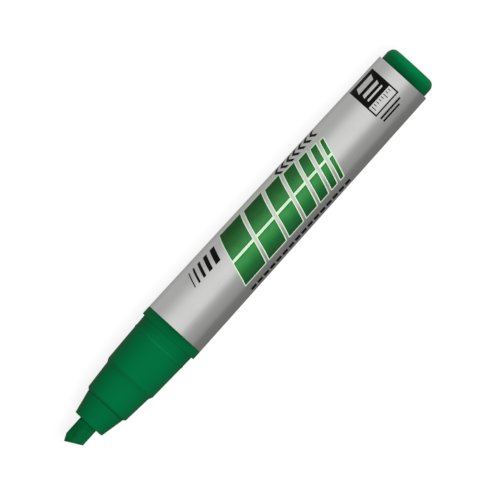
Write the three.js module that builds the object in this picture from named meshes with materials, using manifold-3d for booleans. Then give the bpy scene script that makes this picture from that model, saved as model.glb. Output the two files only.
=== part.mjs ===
// A refillable permanent marker without its cap, lying on its side.
// Lengths are in millimetres and +Z is up. The marker's axis runs along X: the nib points to -X and the
// rear plug to +X. The origin lies on the surface under the marker, below the middle of its length.

import * as THREE from "three";
import { mergeVertices } from "three/addons/utils/BufferGeometryUtils.js";
import Module from "manifold-3d";

const wasm = await Module();
wasm.setup();

// Nib: a flat felt rod with bevelled edges. Its writing edge slants across the width.
const NIB_WIDTH = 6.0;
const NIB_THICKNESS = 4.4;
const NIB_EDGE_BEVEL = 0.7;
const NIB_SHOWN = 8.4;
const NIB_APEX_OFFSET = 1.95;
const NIB_CHISEL_SETBACK = 2.7;
const NIB_RELIEF_SETBACK = 2.2;
const NIB_EDGE_THICKNESS = 1.3;
const NIB_WEDGE_LENGTH = 4.6;
const NIB_IN_RESERVOIR = 8.0;
const NIB_TAIL_POINT = 1.5;

// Nose: the cone of the nib holder. Its shank sits in the front section, behind a shoulder.
const NOSE_LENGTH = 7.33;
const NOSE_TAPER = 1.53;
const NOSE_EDGE = 0.25;
const SHANK_SHOULDER = 1.13;
const SHANK_LEAD = 0.5;
const SHANK_SNAP_HEIGHT = 0.3;
const SHANK_SNAP_WIDTH = 1.6;
const SHANK_SNAP_PLACE = 5.0;

// Front section: first step, middle cone, second step, grip cone, collar, then the spigot in the barrel.
// A taper is the radius that a cone loses towards the nib, and a rise is what a step adds.
const STEP_ONE_LENGTH = 0.7;
const STEP_ONE_RISE = 0.7;
const MIDDLE_LENGTH = 9.01;
const MIDDLE_TAPER = 0.72;
const STEP_TWO_LENGTH = 0.87;
const STEP_TWO_RISE = 0.55;
const GRIP_LENGTH = 16.2;
const GRIP_TAPER = 0.58;
const GRIP_WALL = 1.0;
const CAP_STOP_STEP = 0.72;
const BEAD_FROM_COLLAR = 3.9;
const BEAD_WIDTH = 1.1;
const BEAD_HEIGHT = 0.14;
const COLLAR_LENGTH = 2.86;
const COLLAR_PROUD = 0.02;
const COLLAR_EDGE = 0.15;
const CHAMBER_SETBACK = 1.5;
const SPIGOT_LENGTH = 17.0;
const SPIGOT_LEAD = 0.6;

// Low ribs along the chamber keep the reservoir in the middle and let air pass beside it.
const CENTRING_RIBS = 6;
const CENTRING_RIB_HEIGHT = 0.35;
const CENTRING_RIB_WIDTH = 0.9;

// Barrel: an open aluminium tube that tapers to the rear. Its bore is straight where the ends plug in.
const BARREL_LENGTH = 98.06;
const BARREL_FRONT_RADIUS = 9.88;
const BARREL_TAPER = 0.82;
const BARREL_FRONT_WALL = 0.85;
const BARREL_REAR_WALL = 0.9;
const BARREL_EDGE = 0.15;
const REAR_LAND_MARGIN = 2.0;

// Rear plug: a hollow button that rests on the barrel's rim, and a cup that holds the reservoir's end.
const PLUG_SHOWN = 4.64;
const PLUG_SEAT = 0.12;
const PLUG_ROUNDING_LENGTH = 2.4;
const PLUG_ROUNDING_DEPTH = 2.1;
const PLUG_END_WALL = 1.4;
const PLUG_SHANK_LENGTH = 14.0;
const PLUG_CUP_DEPTH = 5.0;
const PLUG_CUP_STEP = 1.1;
const PLUG_LEAD = 0.4;

// Sealing ribs on the spigot and on the plug's shank.
const RIB_COUNT = 3;
const RIB_HEIGHT = 0.22;
const RIB_WIDTH = 0.9;
const RIB_PITCH = 3.2;
const RIB_FIRST = 2.6;

// Reservoir: ink-holding fibre in a thin film.
const FILM_WALL = 0.12;
const RESERVOIR_CLEARANCE = 0.3;
const TAIL_CLEARANCE = 0.1;
const TAIL_END_GAP = 0.3;

// Clearances of the parts that pull apart.
const RIB_CLEARANCE = 0.05;
const FILM_CLEARANCE = 0.05;
const SHANK_CLEARANCE = 0.1;
const SHANK_END_GAP = 0.3;
const SLOT_CLEARANCE = 0.08;

// The turned pieces have this many flats. One flat faces straight down, so the marker rests on it.
const FLATS = 48;
const ROUNDING_STEPS = 6;
// Cutting solids reach this far past what they cut.
const CUT_OVERSHOOT = 1.0;

// Stations along X, from the nib's tip to the rear face, about the middle of the whole length.
const overallLength = NIB_SHOWN + NOSE_LENGTH + STEP_ONE_LENGTH + MIDDLE_LENGTH + STEP_TWO_LENGTH
  + GRIP_LENGTH + COLLAR_LENGTH + BARREL_LENGTH + PLUG_SHOWN;
const tipX = -overallLength / 2;
const noseFrontX = tipX + NIB_SHOWN;
const noseRearX = noseFrontX + NOSE_LENGTH;
const middleFrontX = noseRearX + STEP_ONE_LENGTH;
const middleRearX = middleFrontX + MIDDLE_LENGTH;
const gripFrontX = middleRearX + STEP_TWO_LENGTH;
const gripRearX = gripFrontX + GRIP_LENGTH;
const barrelFrontX = gripRearX + COLLAR_LENGTH;
const barrelRearX = barrelFrontX + BARREL_LENGTH;
const rearX = barrelRearX + PLUG_SHOWN;
const spigotRearX = barrelFrontX + SPIGOT_LENGTH;
const plugFrontX = barrelRearX - PLUG_SHANK_LENGTH;

// Outer radii, stepping down from the barrel to the nib.
const barrelRearRadius = BARREL_FRONT_RADIUS - BARREL_TAPER;
const collarRadius = BARREL_FRONT_RADIUS + COLLAR_PROUD;
const gripRearRadius = collarRadius - CAP_STOP_STEP;
const gripFrontRadius = gripRearRadius - GRIP_TAPER;
const middleRearRadius = gripFrontRadius - STEP_TWO_RISE;
const middleFrontRadius = middleRearRadius - MIDDLE_TAPER;
const noseRearRadius = middleFrontRadius - STEP_ONE_RISE;
const noseFrontRadius = noseRearRadius - NOSE_TAPER;

// Bores, and what sits in them.
const spigotShare = SPIGOT_LENGTH / BARREL_LENGTH;
const frontBoreRadius = BARREL_FRONT_RADIUS - BARREL_TAPER * spigotShare - BARREL_FRONT_WALL;
const rearBoreRadius = barrelRearRadius - BARREL_REAR_WALL;
const shankRadius = noseRearRadius - SHANK_SHOULDER;
const shankBoreRadius = shankRadius + SHANK_CLEARANCE;

// The reservoir lies between a shoulder in the front section and a shoulder in the plug's cup.
const reservoirFrontX = gripFrontX + CHAMBER_SETBACK;
const reservoirRearX = plugFrontX + PLUG_CUP_DEPTH;
const chamberRadius = gripFrontRadius - GRIP_WALL;
const seatRadius = chamberRadius - CENTRING_RIB_HEIGHT;
const filmRadius = seatRadius - RESERVOIR_CLEARANCE;
const coreRadius = filmRadius - FILM_WALL - FILM_CLEARANCE;

const axisHeight = collarRadius * Math.cos(Math.PI / FLATS);

const greenPlastic = new THREE.MeshStandardMaterial({ color: 0x007040, roughness: 0.4, metalness: 0 });
const inkedFelt = new THREE.MeshStandardMaterial({ color: 0x006036, roughness: 0.9, metalness: 0 });
const satinAluminium = new THREE.MeshStandardMaterial({ color: 0xc4c4c2, roughness: 0.38, metalness: 1 });
const inkedFibre = new THREE.MeshStandardMaterial({ color: 0x0d5a33, roughness: 0.95, metalness: 0 });
const clearFilm = new THREE.MeshStandardMaterial({ color: 0xe6ece8, roughness: 0.25, metalness: 0 });

// A profile is a list of [x, radius] points. The outside runs to +X and a bore runs back to -X.
function turned(profile) {
  const points = profile.map(([x, radius]) => new THREE.Vector2(radius, x));
  const geometry = new THREE.LatheGeometry(points, FLATS, Math.PI / FLATS);
  return geometry.rotateZ(-Math.PI / 2);
}

function closed(profile) {
  return [...profile, profile[0]];
}

// Rounded crown between two stations of a profile, standing proud of the straight line between them.
function crown(centreX, width, height, radiusAt) {
  const points = [];
  for (let step = 0; step <= ROUNDING_STEPS; step++) {
    const x = centreX + width * (step / ROUNDING_STEPS - 0.5);
    points.push([x, radiusAt(x) + height * Math.sin(Math.PI * step / ROUNDING_STEPS)]);
  }
  return points;
}

// A quarter of an ellipse that rounds the outer edge of an end face.
function roundedEnd(endX, radius, length, depth) {
  const curve = new THREE.EllipseCurve(endX - length, radius - depth, length, depth, Math.PI / 2, 0, true);
  return curve.getPoints(ROUNDING_STEPS).map((point) => [point.x, point.y]);
}

// Sealing ribs with square feet and bevelled flanks, at an even pitch from firstX towards +X.
function ribs(firstX, footRadius, ribRadius) {
  const points = [];
  for (let rib = 0; rib < RIB_COUNT; rib++) {
    const startX = firstX + rib * RIB_PITCH;
    points.push([startX, footRadius], [startX + RIB_WIDTH / 3, ribRadius]);
    points.push([startX + RIB_WIDTH * 2 / 3, ribRadius], [startX + RIB_WIDTH, footRadius]);
  }
  return points;
}

function asSolid(geometry) {
  const bare = geometry.clone();
  bare.deleteAttribute("normal");
  bare.deleteAttribute("uv");
  const merged = mergeVertices(bare);
  const corners = merged.index.array;
  const kept = [];
  for (let i = 0; i < corners.length; i += 3) {
    const [a, b, c] = corners.slice(i, i + 3);
    if (a !== b && b !== c && c !== a) kept.push(a, b, c);
  }
  const vertProperties = new Float32Array(merged.attributes.position.array);
  return new wasm.Manifold(new wasm.Mesh({ numProp: 3, vertProperties, triVerts: new Uint32Array(kept) }));
}

function asGeometry(solid) {
  const mesh = solid.getMesh();
  const geometry = new THREE.BufferGeometry();
  geometry.setAttribute("position", new THREE.BufferAttribute(new Float32Array(mesh.vertProperties), 3));
  geometry.setIndex(new THREE.BufferAttribute(new Uint32Array(mesh.triVerts), 1));
  const faceted = geometry.toNonIndexed();
  faceted.computeVertexNormals();
  return faceted;
}

function cut(geometry, ...tools) {
  return asGeometry(tools.reduce((solid, tool) => solid.subtract(asSolid(tool)), asSolid(geometry)));
}

function join(...geometries) {
  return asGeometry(geometries.map(asSolid).reduce((solid, other) => solid.add(other)));
}

function common(...geometries) {
  return asGeometry(geometries.map(asSolid).reduce((solid, other) => solid.intersect(other)));
}

// A block centred on the axis between two stations.
function block(fromX, toX, width, thickness) {
  return new THREE.BoxGeometry(toX - fromX, width, thickness).translate((fromX + toX) / 2, 0, 0);
}

function prism(outline, depth) {
  const shape = new THREE.Shape(outline.map(([x, y]) => new THREE.Vector2(x, y)));
  return new THREE.ExtrudeGeometry(shape, { depth, bevelEnabled: false }).translate(0, 0, -depth / 2);
}

// The nib is what three prisms share: its outline from above, its bevelled section and its wedge.
function nib() {
  const halfWidth = NIB_WIDTH / 2;
  const halfThickness = NIB_THICKNESS / 2;
  const endX = reservoirFrontX + NIB_IN_RESERVOIR;
  const plan = prism([
    [tipX, NIB_APEX_OFFSET],
    [tipX + NIB_CHISEL_SETBACK, -halfWidth],
    [endX - NIB_TAIL_POINT, -halfWidth],
    [endX, -halfWidth + NIB_TAIL_POINT],
    [endX, halfWidth - NIB_TAIL_POINT],
    [endX - NIB_TAIL_POINT, halfWidth],
    [tipX + NIB_RELIEF_SETBACK, halfWidth],
  ], NIB_THICKNESS);

  const bevel = NIB_EDGE_BEVEL;
  const section = prism([
    [-halfThickness, -halfWidth + bevel],
    [-halfThickness + bevel, -halfWidth],
    [halfThickness - bevel, -halfWidth],
    [halfThickness, -halfWidth + bevel],
    [halfThickness, halfWidth - bevel],
    [halfThickness - bevel, halfWidth],
    [-halfThickness + bevel, halfWidth],
    [-halfThickness, halfWidth - bevel],
  ], (endX - tipX + CUT_OVERSHOOT) * 2);
  section.rotateY(Math.PI / 2).translate(tipX, 0, 0);

  // The wedge runs along the slanted writing edge, so its flanks are parallel to that edge.
  const slant = Math.atan2(NIB_CHISEL_SETBACK, NIB_APEX_OFFSET + halfWidth);
  const wedgeReach = endX - tipX + NIB_WIDTH;
  const wedge = prism([
    [-CUT_OVERSHOOT, -NIB_EDGE_THICKNESS / 2],
    [0, -NIB_EDGE_THICKNESS / 2],
    [NIB_WEDGE_LENGTH, -halfThickness - CUT_OVERSHOOT / 2],
    [wedgeReach, -halfThickness - CUT_OVERSHOOT / 2],
    [wedgeReach, halfThickness + CUT_OVERSHOOT / 2],
    [NIB_WEDGE_LENGTH, halfThickness + CUT_OVERSHOOT / 2],
    [0, NIB_EDGE_THICKNESS / 2],
    [-CUT_OVERSHOOT, NIB_EDGE_THICKNESS / 2],
  ], wedgeReach * 2);
  wedge.rotateX(Math.PI / 2).rotateZ(slant).translate(tipX, NIB_APEX_OFFSET, 0);
  return common(plan, section, wedge);
}

// The slot stays square in its corners, so the nib's bevelled edges leave four narrow air ways.
function nibHolder() {
  const shankRearX = reservoirFrontX - SHANK_END_GAP;
  const snapX = noseRearX + SHANK_SNAP_PLACE;
  const body = turned([
    [noseFrontX, 0],
    [noseFrontX, noseFrontRadius - NOSE_EDGE],
    [noseFrontX + NOSE_EDGE, noseFrontRadius],
    [noseRearX, noseRearRadius],
    [noseRearX, shankRadius],
    ...crown(snapX, SHANK_SNAP_WIDTH, SHANK_SNAP_HEIGHT, () => shankRadius),
    [shankRearX - SHANK_LEAD, shankRadius],
    [shankRearX, shankRadius - SHANK_LEAD],
    [shankRearX, 0],
  ]);
  const slotWidth = NIB_WIDTH + 2 * SLOT_CLEARANCE;
  const slotThickness = NIB_THICKNESS + 2 * SLOT_CLEARANCE;
  const slot = block(noseFrontX - CUT_OVERSHOOT, shankRearX + CUT_OVERSHOOT, slotWidth, slotThickness);
  return cut(body, slot);
}

// Each rib is rooted in the chamber's wall, so that rib and wall are one moulding.
function centringRibs() {
  const rootRadius = chamberRadius + GRIP_WALL / 2;
  const endX = spigotRearX - SPIGOT_LEAD;
  return Array.from({ length: CENTRING_RIBS }, (_, index) => {
    const rib = block(reservoirFrontX, endX, CENTRING_RIB_WIDTH, rootRadius - seatRadius);
    rib.translate(0, 0, (rootRadius + seatRadius) / 2);
    return rib.rotateX(2 * Math.PI * index / CENTRING_RIBS);
  });
}

function frontSection() {
  const gripRadiusAt = (x) => gripFrontRadius + GRIP_TAPER * (x - gripFrontX) / GRIP_LENGTH;
  const ribRadius = frontBoreRadius - RIB_CLEARANCE;
  const spigotRadius = ribRadius - RIB_HEIGHT;
  const snapX = noseRearX + SHANK_SNAP_PLACE;
  const shell = turned(closed([
    [noseRearX, shankBoreRadius],
    [noseRearX, noseRearRadius],
    [middleFrontX, middleFrontRadius],
    [middleRearX, middleRearRadius],
    [gripFrontX, gripFrontRadius],
    ...crown(gripRearX - BEAD_FROM_COLLAR, BEAD_WIDTH, BEAD_HEIGHT, gripRadiusAt),
    [gripRearX, gripRearRadius],
    [gripRearX, collarRadius - COLLAR_EDGE],
    [gripRearX + COLLAR_EDGE, collarRadius],
    [barrelFrontX, collarRadius],
    [barrelFrontX, spigotRadius],
    ...ribs(barrelFrontX + RIB_FIRST, spigotRadius, ribRadius),
    [spigotRearX - SPIGOT_LEAD, spigotRadius],
    [spigotRearX, spigotRadius - SPIGOT_LEAD],
    [spigotRearX, chamberRadius],
    [reservoirFrontX, chamberRadius],
    [reservoirFrontX, shankBoreRadius],
    ...crown(snapX, SHANK_SNAP_WIDTH, SHANK_SNAP_HEIGHT, () => shankBoreRadius).reverse(),
  ]));
  return join(shell, ...centringRibs());
}

function barrelTube() {
  return turned(closed([
    [barrelFrontX, frontBoreRadius],
    [barrelFrontX, BARREL_FRONT_RADIUS - BARREL_EDGE],
    [barrelFrontX + BARREL_EDGE, BARREL_FRONT_RADIUS],
    [barrelRearX - BARREL_EDGE, barrelRearRadius],
    [barrelRearX, barrelRearRadius - BARREL_EDGE],
    [barrelRearX, rearBoreRadius],
    [plugFrontX - REAR_LAND_MARGIN, rearBoreRadius],
    [spigotRearX, frontBoreRadius],
  ]));
}

function rearPlug() {
  const buttonRadius = rearBoreRadius + PLUG_SEAT;
  const ribRadius = rearBoreRadius - RIB_CLEARANCE;
  const plugRadius = ribRadius - RIB_HEIGHT;
  const cupRadius = seatRadius;
  const hollowRadius = cupRadius - PLUG_CUP_STEP;
  const floorX = rearX - PLUG_END_WALL;
  return turned([
    [floorX, 0],
    [floorX, hollowRadius],
    [reservoirRearX, hollowRadius],
    [reservoirRearX, cupRadius],
    [plugFrontX, cupRadius],
    [plugFrontX, plugRadius - PLUG_LEAD / 2],
    [plugFrontX + PLUG_LEAD, plugRadius],
    ...ribs(plugFrontX + RIB_FIRST, plugRadius, ribRadius),
    [barrelRearX, plugRadius],
    [barrelRearX, buttonRadius],
    ...roundedEnd(rearX, buttonRadius, PLUG_ROUNDING_LENGTH, PLUG_ROUNDING_DEPTH),
    [rearX, 0],
  ]);
}

// The fibre is soft where the tail goes in, and the socket shows the room that the tail takes.
function reservoirCore() {
  const body = turned([
    [reservoirFrontX, 0],
    [reservoirFrontX, coreRadius],
    [reservoirRearX, coreRadius],
    [reservoirRearX, 0],
  ]);
  const socketEndX = reservoirFrontX + NIB_IN_RESERVOIR + TAIL_END_GAP;
  const socketWidth = NIB_WIDTH + 2 * TAIL_CLEARANCE;
  const socketThickness = NIB_THICKNESS + 2 * TAIL_CLEARANCE;
  return cut(body, block(reservoirFrontX - CUT_OVERSHOOT, socketEndX, socketWidth, socketThickness));
}

function reservoirFilm() {
  const innerRadius = filmRadius - FILM_WALL;
  return turned(closed([
    [reservoirFrontX, innerRadius],
    [reservoirFrontX, filmRadius],
    [reservoirRearX, filmRadius],
    [reservoirRearX, innerRadius],
  ]));
}

const marker = new THREE.Group();
marker.position.z = axisHeight;

function add(name, geometry, material) {
  const piece = new THREE.Mesh(geometry, material);
  piece.name = name;
  marker.add(piece);
}

add("nib", nib(), inkedFelt);
add("nib_holder", nibHolder(), greenPlastic);
add("front_section", frontSection(), greenPlastic);
add("barrel_tube", barrelTube(), satinAluminium);
add("rear_plug", rearPlug(), greenPlastic);
add("reservoir_core", reservoirCore(), inkedFibre);
add("reservoir_film", reservoirFilm(), clearFilm);

export default marker;
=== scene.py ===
# %% [markdown]
# # A permanent marker without its cap, made step by step
# The imported model gives every piece its place and every body its motion. This script dresses that frame:
# each piece is modelled again with a true round shape and a finish. Blender works in metres, and the
# sizes here are written in millimetres and multiplied by MM. The marker's axis runs along X, with the nib
# at -X. Loading the frame comes first, and its box is kept.

import math

import bmesh
import bpy
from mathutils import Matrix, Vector


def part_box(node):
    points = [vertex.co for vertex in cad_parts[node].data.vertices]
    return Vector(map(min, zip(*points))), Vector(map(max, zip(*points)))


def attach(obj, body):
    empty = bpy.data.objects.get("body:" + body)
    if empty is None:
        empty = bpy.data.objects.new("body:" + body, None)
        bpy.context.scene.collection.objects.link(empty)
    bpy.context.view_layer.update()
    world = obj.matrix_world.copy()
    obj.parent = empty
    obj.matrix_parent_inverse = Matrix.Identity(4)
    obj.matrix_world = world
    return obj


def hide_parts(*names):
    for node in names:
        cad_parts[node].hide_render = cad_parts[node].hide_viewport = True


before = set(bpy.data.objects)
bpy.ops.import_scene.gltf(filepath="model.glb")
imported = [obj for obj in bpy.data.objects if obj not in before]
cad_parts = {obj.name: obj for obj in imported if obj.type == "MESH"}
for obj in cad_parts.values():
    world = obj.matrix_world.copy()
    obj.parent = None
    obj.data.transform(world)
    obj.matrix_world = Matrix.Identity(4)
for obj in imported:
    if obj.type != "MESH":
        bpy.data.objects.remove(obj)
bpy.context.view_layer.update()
MM = 0.001


def metres(*sizes):
    """Sizes in millimetres as metres."""
    return [size * MM for size in sizes]


# %% [markdown]
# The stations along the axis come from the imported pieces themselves, so each new piece meets its neighbours
# where the frame has them.

# %% Stations
def ends(name):
    """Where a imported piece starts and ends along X, in millimetres."""
    low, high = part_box(name)
    return low.x / MM, high.x / MM


nib_tip, nib_end = ends("nib")
nose_front, shank_rear = ends("nib_holder")
section_front, spigot_rear = ends("front_section")
tube_front, tube_rear = ends("barrel_tube")
plug_front, plug_rear = ends("rear_plug")
core_front, core_rear = ends("reservoir_core")
collar_low, collar_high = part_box("front_section")
axis_height = (collar_low.z + collar_high.z) / 2 / MM
print(f"tube from {tube_front:.2f} to {tube_rear:.2f} mm, axis {axis_height:.2f} mm up")

# %% [markdown]
# The camera looks straight down at the marker, turned so that the nib points to the lower left. It
# could be an orthographic camera, but a long lens far away looks as flat and still behaves as a real
# one from other sides. It stands where the picture is FRAME_WIDTH across, and sees CLIP_END metres far.

# %% Camera
FRAME_WIDTH = 144.25
LENS = 1200.0
SENSOR = 36.0
CLIP_END = 50.0
TURN = math.radians(-47.77)
AIM = Vector((2.84, -0.77, 0.0))

distance = FRAME_WIDTH * LENS / SENSOR

lens = bpy.data.cameras.new("long_lens")
lens.lens = LENS
lens.sensor_width = SENSOR
lens.clip_end = CLIP_END
camera = bpy.data.objects.new("camera", lens)
camera.location = (AIM + Vector((0, 0, axis_height + distance))) * MM
camera.rotation_euler = (0, 0, TURN)
scene = bpy.context.scene
scene.collection.objects.link(camera)
scene.camera = camera
scene.view_settings.view_transform = "Standard"
print(f"camera is {distance * MM:.2f} m above the axis")

# %% [markdown]
# Colours are sRGB hex values, as a colour picker shows them. Blender's sockets want linear light, so
# one function turns a hex value into that. Masks and light levels are plain numbers. Another function
# adds a node, sets it up and links what goes into it, so each material below reads as a short list of
# nodes. A Mix of colours takes them at inputs 6 and 7 and gives the result at output 2.

# %% Colours and nodes
def linear(hex_colour):
    """An sRGB hex colour such as #006E3D as linear red, green, blue and an alpha of 1."""
    channels = [int(hex_colour[i:i + 2], 16) / 255 for i in (1, 3, 5)]
    return tuple(c / 12.92 if c <= 0.04045 else ((c + 0.055) / 1.055) ** 2.4 for c in channels) + (1.0,)


def grey(level):
    """A level of light or of a mask as red, green, blue and an alpha of 1."""
    return level, level, level, 1.0


def feed(made, inputs):
    """Sets a node's inputs. Each is a value, an output to link, or a node to link the first output of.

    The From and To of a range are pairs."""
    for socket, value in inputs.items():
        if socket in ("From", "To"):
            feed(made, {f"{socket} Min": value[0], f"{socket} Max": value[1]})
        elif isinstance(value, bpy.types.Node):
            made.id_data.links.new(value.outputs[0], made.inputs[socket])
        elif isinstance(value, bpy.types.NodeSocket):
            made.id_data.links.new(value, made.inputs[socket])
        else:
            made.inputs[socket].default_value = value


def node(tree, kind, inputs=None, **settings):
    """Adds a shader node of this kind with its settings, and feeds its inputs."""
    made = tree.nodes.new("ShaderNode" + kind)
    for name, value in settings.items():
        setattr(made, name, value)
    feed(made, inputs or {})
    return made


def set_stops(ramp_node, stops):
    """Gives a colour ramp these (place, colour) stops, in rising order."""
    elements = ramp_node.color_ramp.elements
    while len(elements) > 1:
        elements.remove(elements[-1])
    for index, (place, colour) in enumerate(stops):
        stop = elements.new(place) if index else elements[0]
        stop.position = place
        stop.color = colour


print("mid green in linear light:", [round(c, 3) for c in linear("#006E3D")])

# %% [markdown]
# The studio is a pale table under soft light. The world gives the even part of that light. A metal
# shows what is round it, so the world also holds what the barrel mirrors: a long light box above the
# marker and along it, with a crisp edge on one side and a soft one on the other. Its brightness depends
# only on the angle round the X axis from straight up, so a colour ramp over that angle draws it. The
# Light Path node keeps the camera's white background from lighting the marker.

# %% World
LIGHT_BOX = [
    (-90, 0.34), (-65, 0.37), (-40, 0.44), (-28, 0.66), (-17, 0.85), (32, 0.80), (60, 0.59), (80, 0.48),
]
QUARTER_TURN = 90
EVEN_LIGHT = 0.24


def straight_rays(tree):
    """The Light Path node, and a mask of the rays that see things directly or through the film."""
    path = node(tree, "LightPath")
    straight = node(tree, "Math", {
        0: path.outputs["Is Camera Ray"], 1: path.outputs["Is Transmission Ray"],
    }, operation="MAXIMUM")
    return path, straight


world = bpy.data.worlds.new("soft_studio")
world.use_nodes = True
world.cycles.sampling_method = "NONE"
scene.world = world
tree = world.node_tree
tree.nodes.clear()
path, straight = straight_rays(tree)
direction = node(tree, "TexCoord")
parts = node(tree, "SeparateXYZ", {0: direction.outputs["Generated"]})
from_top = node(tree, "Math", {0: parts.outputs["Y"], 1: parts.outputs["Z"]}, operation="ARCTAN2")
share = node(tree, "MapRange", {
    "Value": from_top, "From": (math.radians(-QUARTER_TURN), math.radians(QUARTER_TURN)),
})
room = node(tree, "ValToRGB", {"Fac": share})
set_stops(room, [((degrees + QUARTER_TURN) / (2 * QUARTER_TURN), grey(bright))
                 for degrees, bright in LIGHT_BOX])
seen = node(tree, "Math", {
    0: path.outputs["Is Glossy Ray"], 1: room, 2: straight,
}, operation="MULTIPLY_ADD")
level = node(tree, "Math", {
    0: path.outputs["Is Diffuse Ray"], 1: EVEN_LIGHT, 2: seen,
}, operation="MULTIPLY_ADD")
background = node(tree, "Background", {"Color": grey(1), "Strength": level})
node(tree, "OutputWorld", {"Surface": background})
print("light box from side to side:", [round(stop.color[0], 2) for stop in room.color_ramp.elements])

# %% [markdown]
# The direction of the light and its soft shadows come from two lamps. Area lamps would do, but a sun
# with a wide angle shines alike on the whole marker and needs no distance. One stands above and a
# little to the side, and a low one behind the rear plug brightens what faces the rear. The light box
# stands for both in the metal, so the lamps themselves are kept out of reflections.

# %% Lamps
LAMP_SIZE = math.radians(30)
LAMPS = {
    "soft_lamp_above": (2.25, (0.0, -0.2, 1.0)),
    "soft_lamp_behind": (2.7, (1.0, 0.0, 0.16)),
}

for name, (strength, comes_from) in LAMPS.items():
    sun = bpy.data.lights.new(name, "SUN")
    sun.energy = strength
    sun.angle = LAMP_SIZE
    lamp = bpy.data.objects.new(name, sun)
    lamp.rotation_euler = Vector(comes_from).to_track_quat("Z", "Y").to_euler()
    lamp.visible_glossy = False
    scene.collection.objects.link(lamp)
    print(f"{name}: strength {strength}, from {comes_from}")

# %% [markdown]
# A material starts as a Principled shader and the piece's own Object coordinates. The pieces sit at the
# origin with their place in their mesh, so these coordinates are the marker's own in metres, and a
# noise's scale follows from the real size of its features. Most of a noise lies between the two values
# of NOISE_RANGE.

# %% Start of a material
NOISE_RANGE = (0.3, 0.7)


def start_material(name, constants):
    """Gives a new material, its node tree, its Principled shader and its Object coordinates."""
    material = bpy.data.materials.new(name)
    material.use_nodes = True
    tree = material.node_tree
    tree.nodes.clear()
    shader = node(tree, "BsdfPrincipled", constants)
    node(tree, "OutputMaterial", {"Surface": shader})
    coordinates = node(tree, "TexCoord").outputs["Object"]
    return material, tree, shader, coordinates


def scale_for(size):
    """The scale of a noise whose features are this many millimetres across."""
    return 1 / (size * MM)


def finish(material, shader, inputs):
    """Feeds a material's shader and prints how many nodes the material has."""
    feed(shader, inputs)
    print(material.name, "has", len(material.node_tree.nodes), "nodes")


print("scale for 0.4 mm grains:", scale_for(0.4))

# %% [markdown]
# The table is a pale matt sheet, TABLE_HALF metres to each side. Its own colour catches the lamps and
# the marker's soft shadow, and the rest of its white is emission that only the camera, glossy and
# transmission rays see. Together they come to 1, which is white, and where the marker shades it the
# table stays grey. In the metal the table is dimmer, most of all on the side away from the light box,
# because a round bright tube needs dark edges to look round.

# %% Table
TABLE_HALF = 3.0
TABLE_WHITE = 0.82
TABLE_IN_METAL = (0.0, 0.30)
TABLE_SIDES = (-8.0, 30.0)

table_finish, tree, shader, at = start_material("matt_table", {
    "Roughness": 1.0, "Specular IOR Level": 0.0, "Emission Color": grey(1),
})
table_finish.cycles.emission_sampling = "NONE"
path, straight = straight_rays(tree)
across = node(tree, "SeparateXYZ", {0: at})
in_metal = node(tree, "MapRange", {
    "Value": across.outputs["Y"], "From": metres(*TABLE_SIDES), "To": TABLE_IN_METAL,
})
for_camera = node(tree, "Math", {0: straight, 1: TABLE_WHITE}, operation="MULTIPLY")
glow = node(tree, "Math", {
    0: path.outputs["Is Glossy Ray"], 1: in_metal, 2: for_camera,
}, operation="MULTIPLY_ADD")
matt_grey = node(tree, "Mix", {
    0: path.outputs["Is Glossy Ray"], 6: linear("#7C7C7C"), 7: linear("#767676"),
}, data_type="RGBA")
finish(table_finish, shader, {"Base Color": matt_grey.outputs[2], "Emission Strength": glow})

bm = bmesh.new()
bmesh.ops.create_grid(bm, x_segments=1, y_segments=1, size=TABLE_HALF)
sheet = bpy.data.meshes.new("table")
bm.to_mesh(sheet)
bm.free()
table = bpy.data.objects.new("table", sheet)
table.data.materials.append(table_finish)
scene.collection.objects.link(table)
print(f"table is {2 * TABLE_HALF:.0f} m square")

# %% [markdown]
# The front section, the nose and the rear plug are polypropylene, injection moulded in a tool with a
# fine spark-eroded texture. The plastic is coloured all through, a deep cool green, and it shines
# softly and without a coloured tint. Three patterns carry that: slow streaks where the melt flowed, the
# tool's grain in the roughness, and that grain as a low bump. The real grain is too fine to show, so
# it is drawn coarser. The next two cells paint shade at the joints and a highlight on the bead.

# %% Moulded polypropylene
FLOW_SIZE = 14.0
FLOW_STRETCH = 0.45
GRAIN_SIZE = 0.35
GRAIN_HEIGHT = 0.002
PLASTIC_ROUGHNESS = (0.38, 0.46)

moulded_green, tree, shader, at = start_material("moulded_green_polypropylene", {
    "IOR": 1.49, "Specular IOR Level": 0.05,
})
stretched = node(tree, "Mapping", {"Vector": at, "Scale": (FLOW_STRETCH, 1, 1)})
flow = node(tree, "TexNoise", {
    "Vector": stretched, "Scale": scale_for(FLOW_SIZE), "Detail": 3.0, "Roughness": 0.55,
})
green = node(tree, "Mix", {0: flow, 6: linear("#006638"), 7: linear("#00713F")}, data_type="RGBA")
grain = node(tree, "TexNoise", {"Vector": at, "Scale": scale_for(GRAIN_SIZE), "Detail": 2.0})
gloss = node(tree, "MapRange", {"Value": grain, "From": NOISE_RANGE, "To": PLASTIC_ROUGHNESS})
pits = node(tree, "Bump", {"Strength": 0.3, "Distance": GRAIN_HEIGHT * MM, "Height": grain})
finish(moulded_green, shader, {"Roughness": gloss, "Normal": pits})
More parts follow.
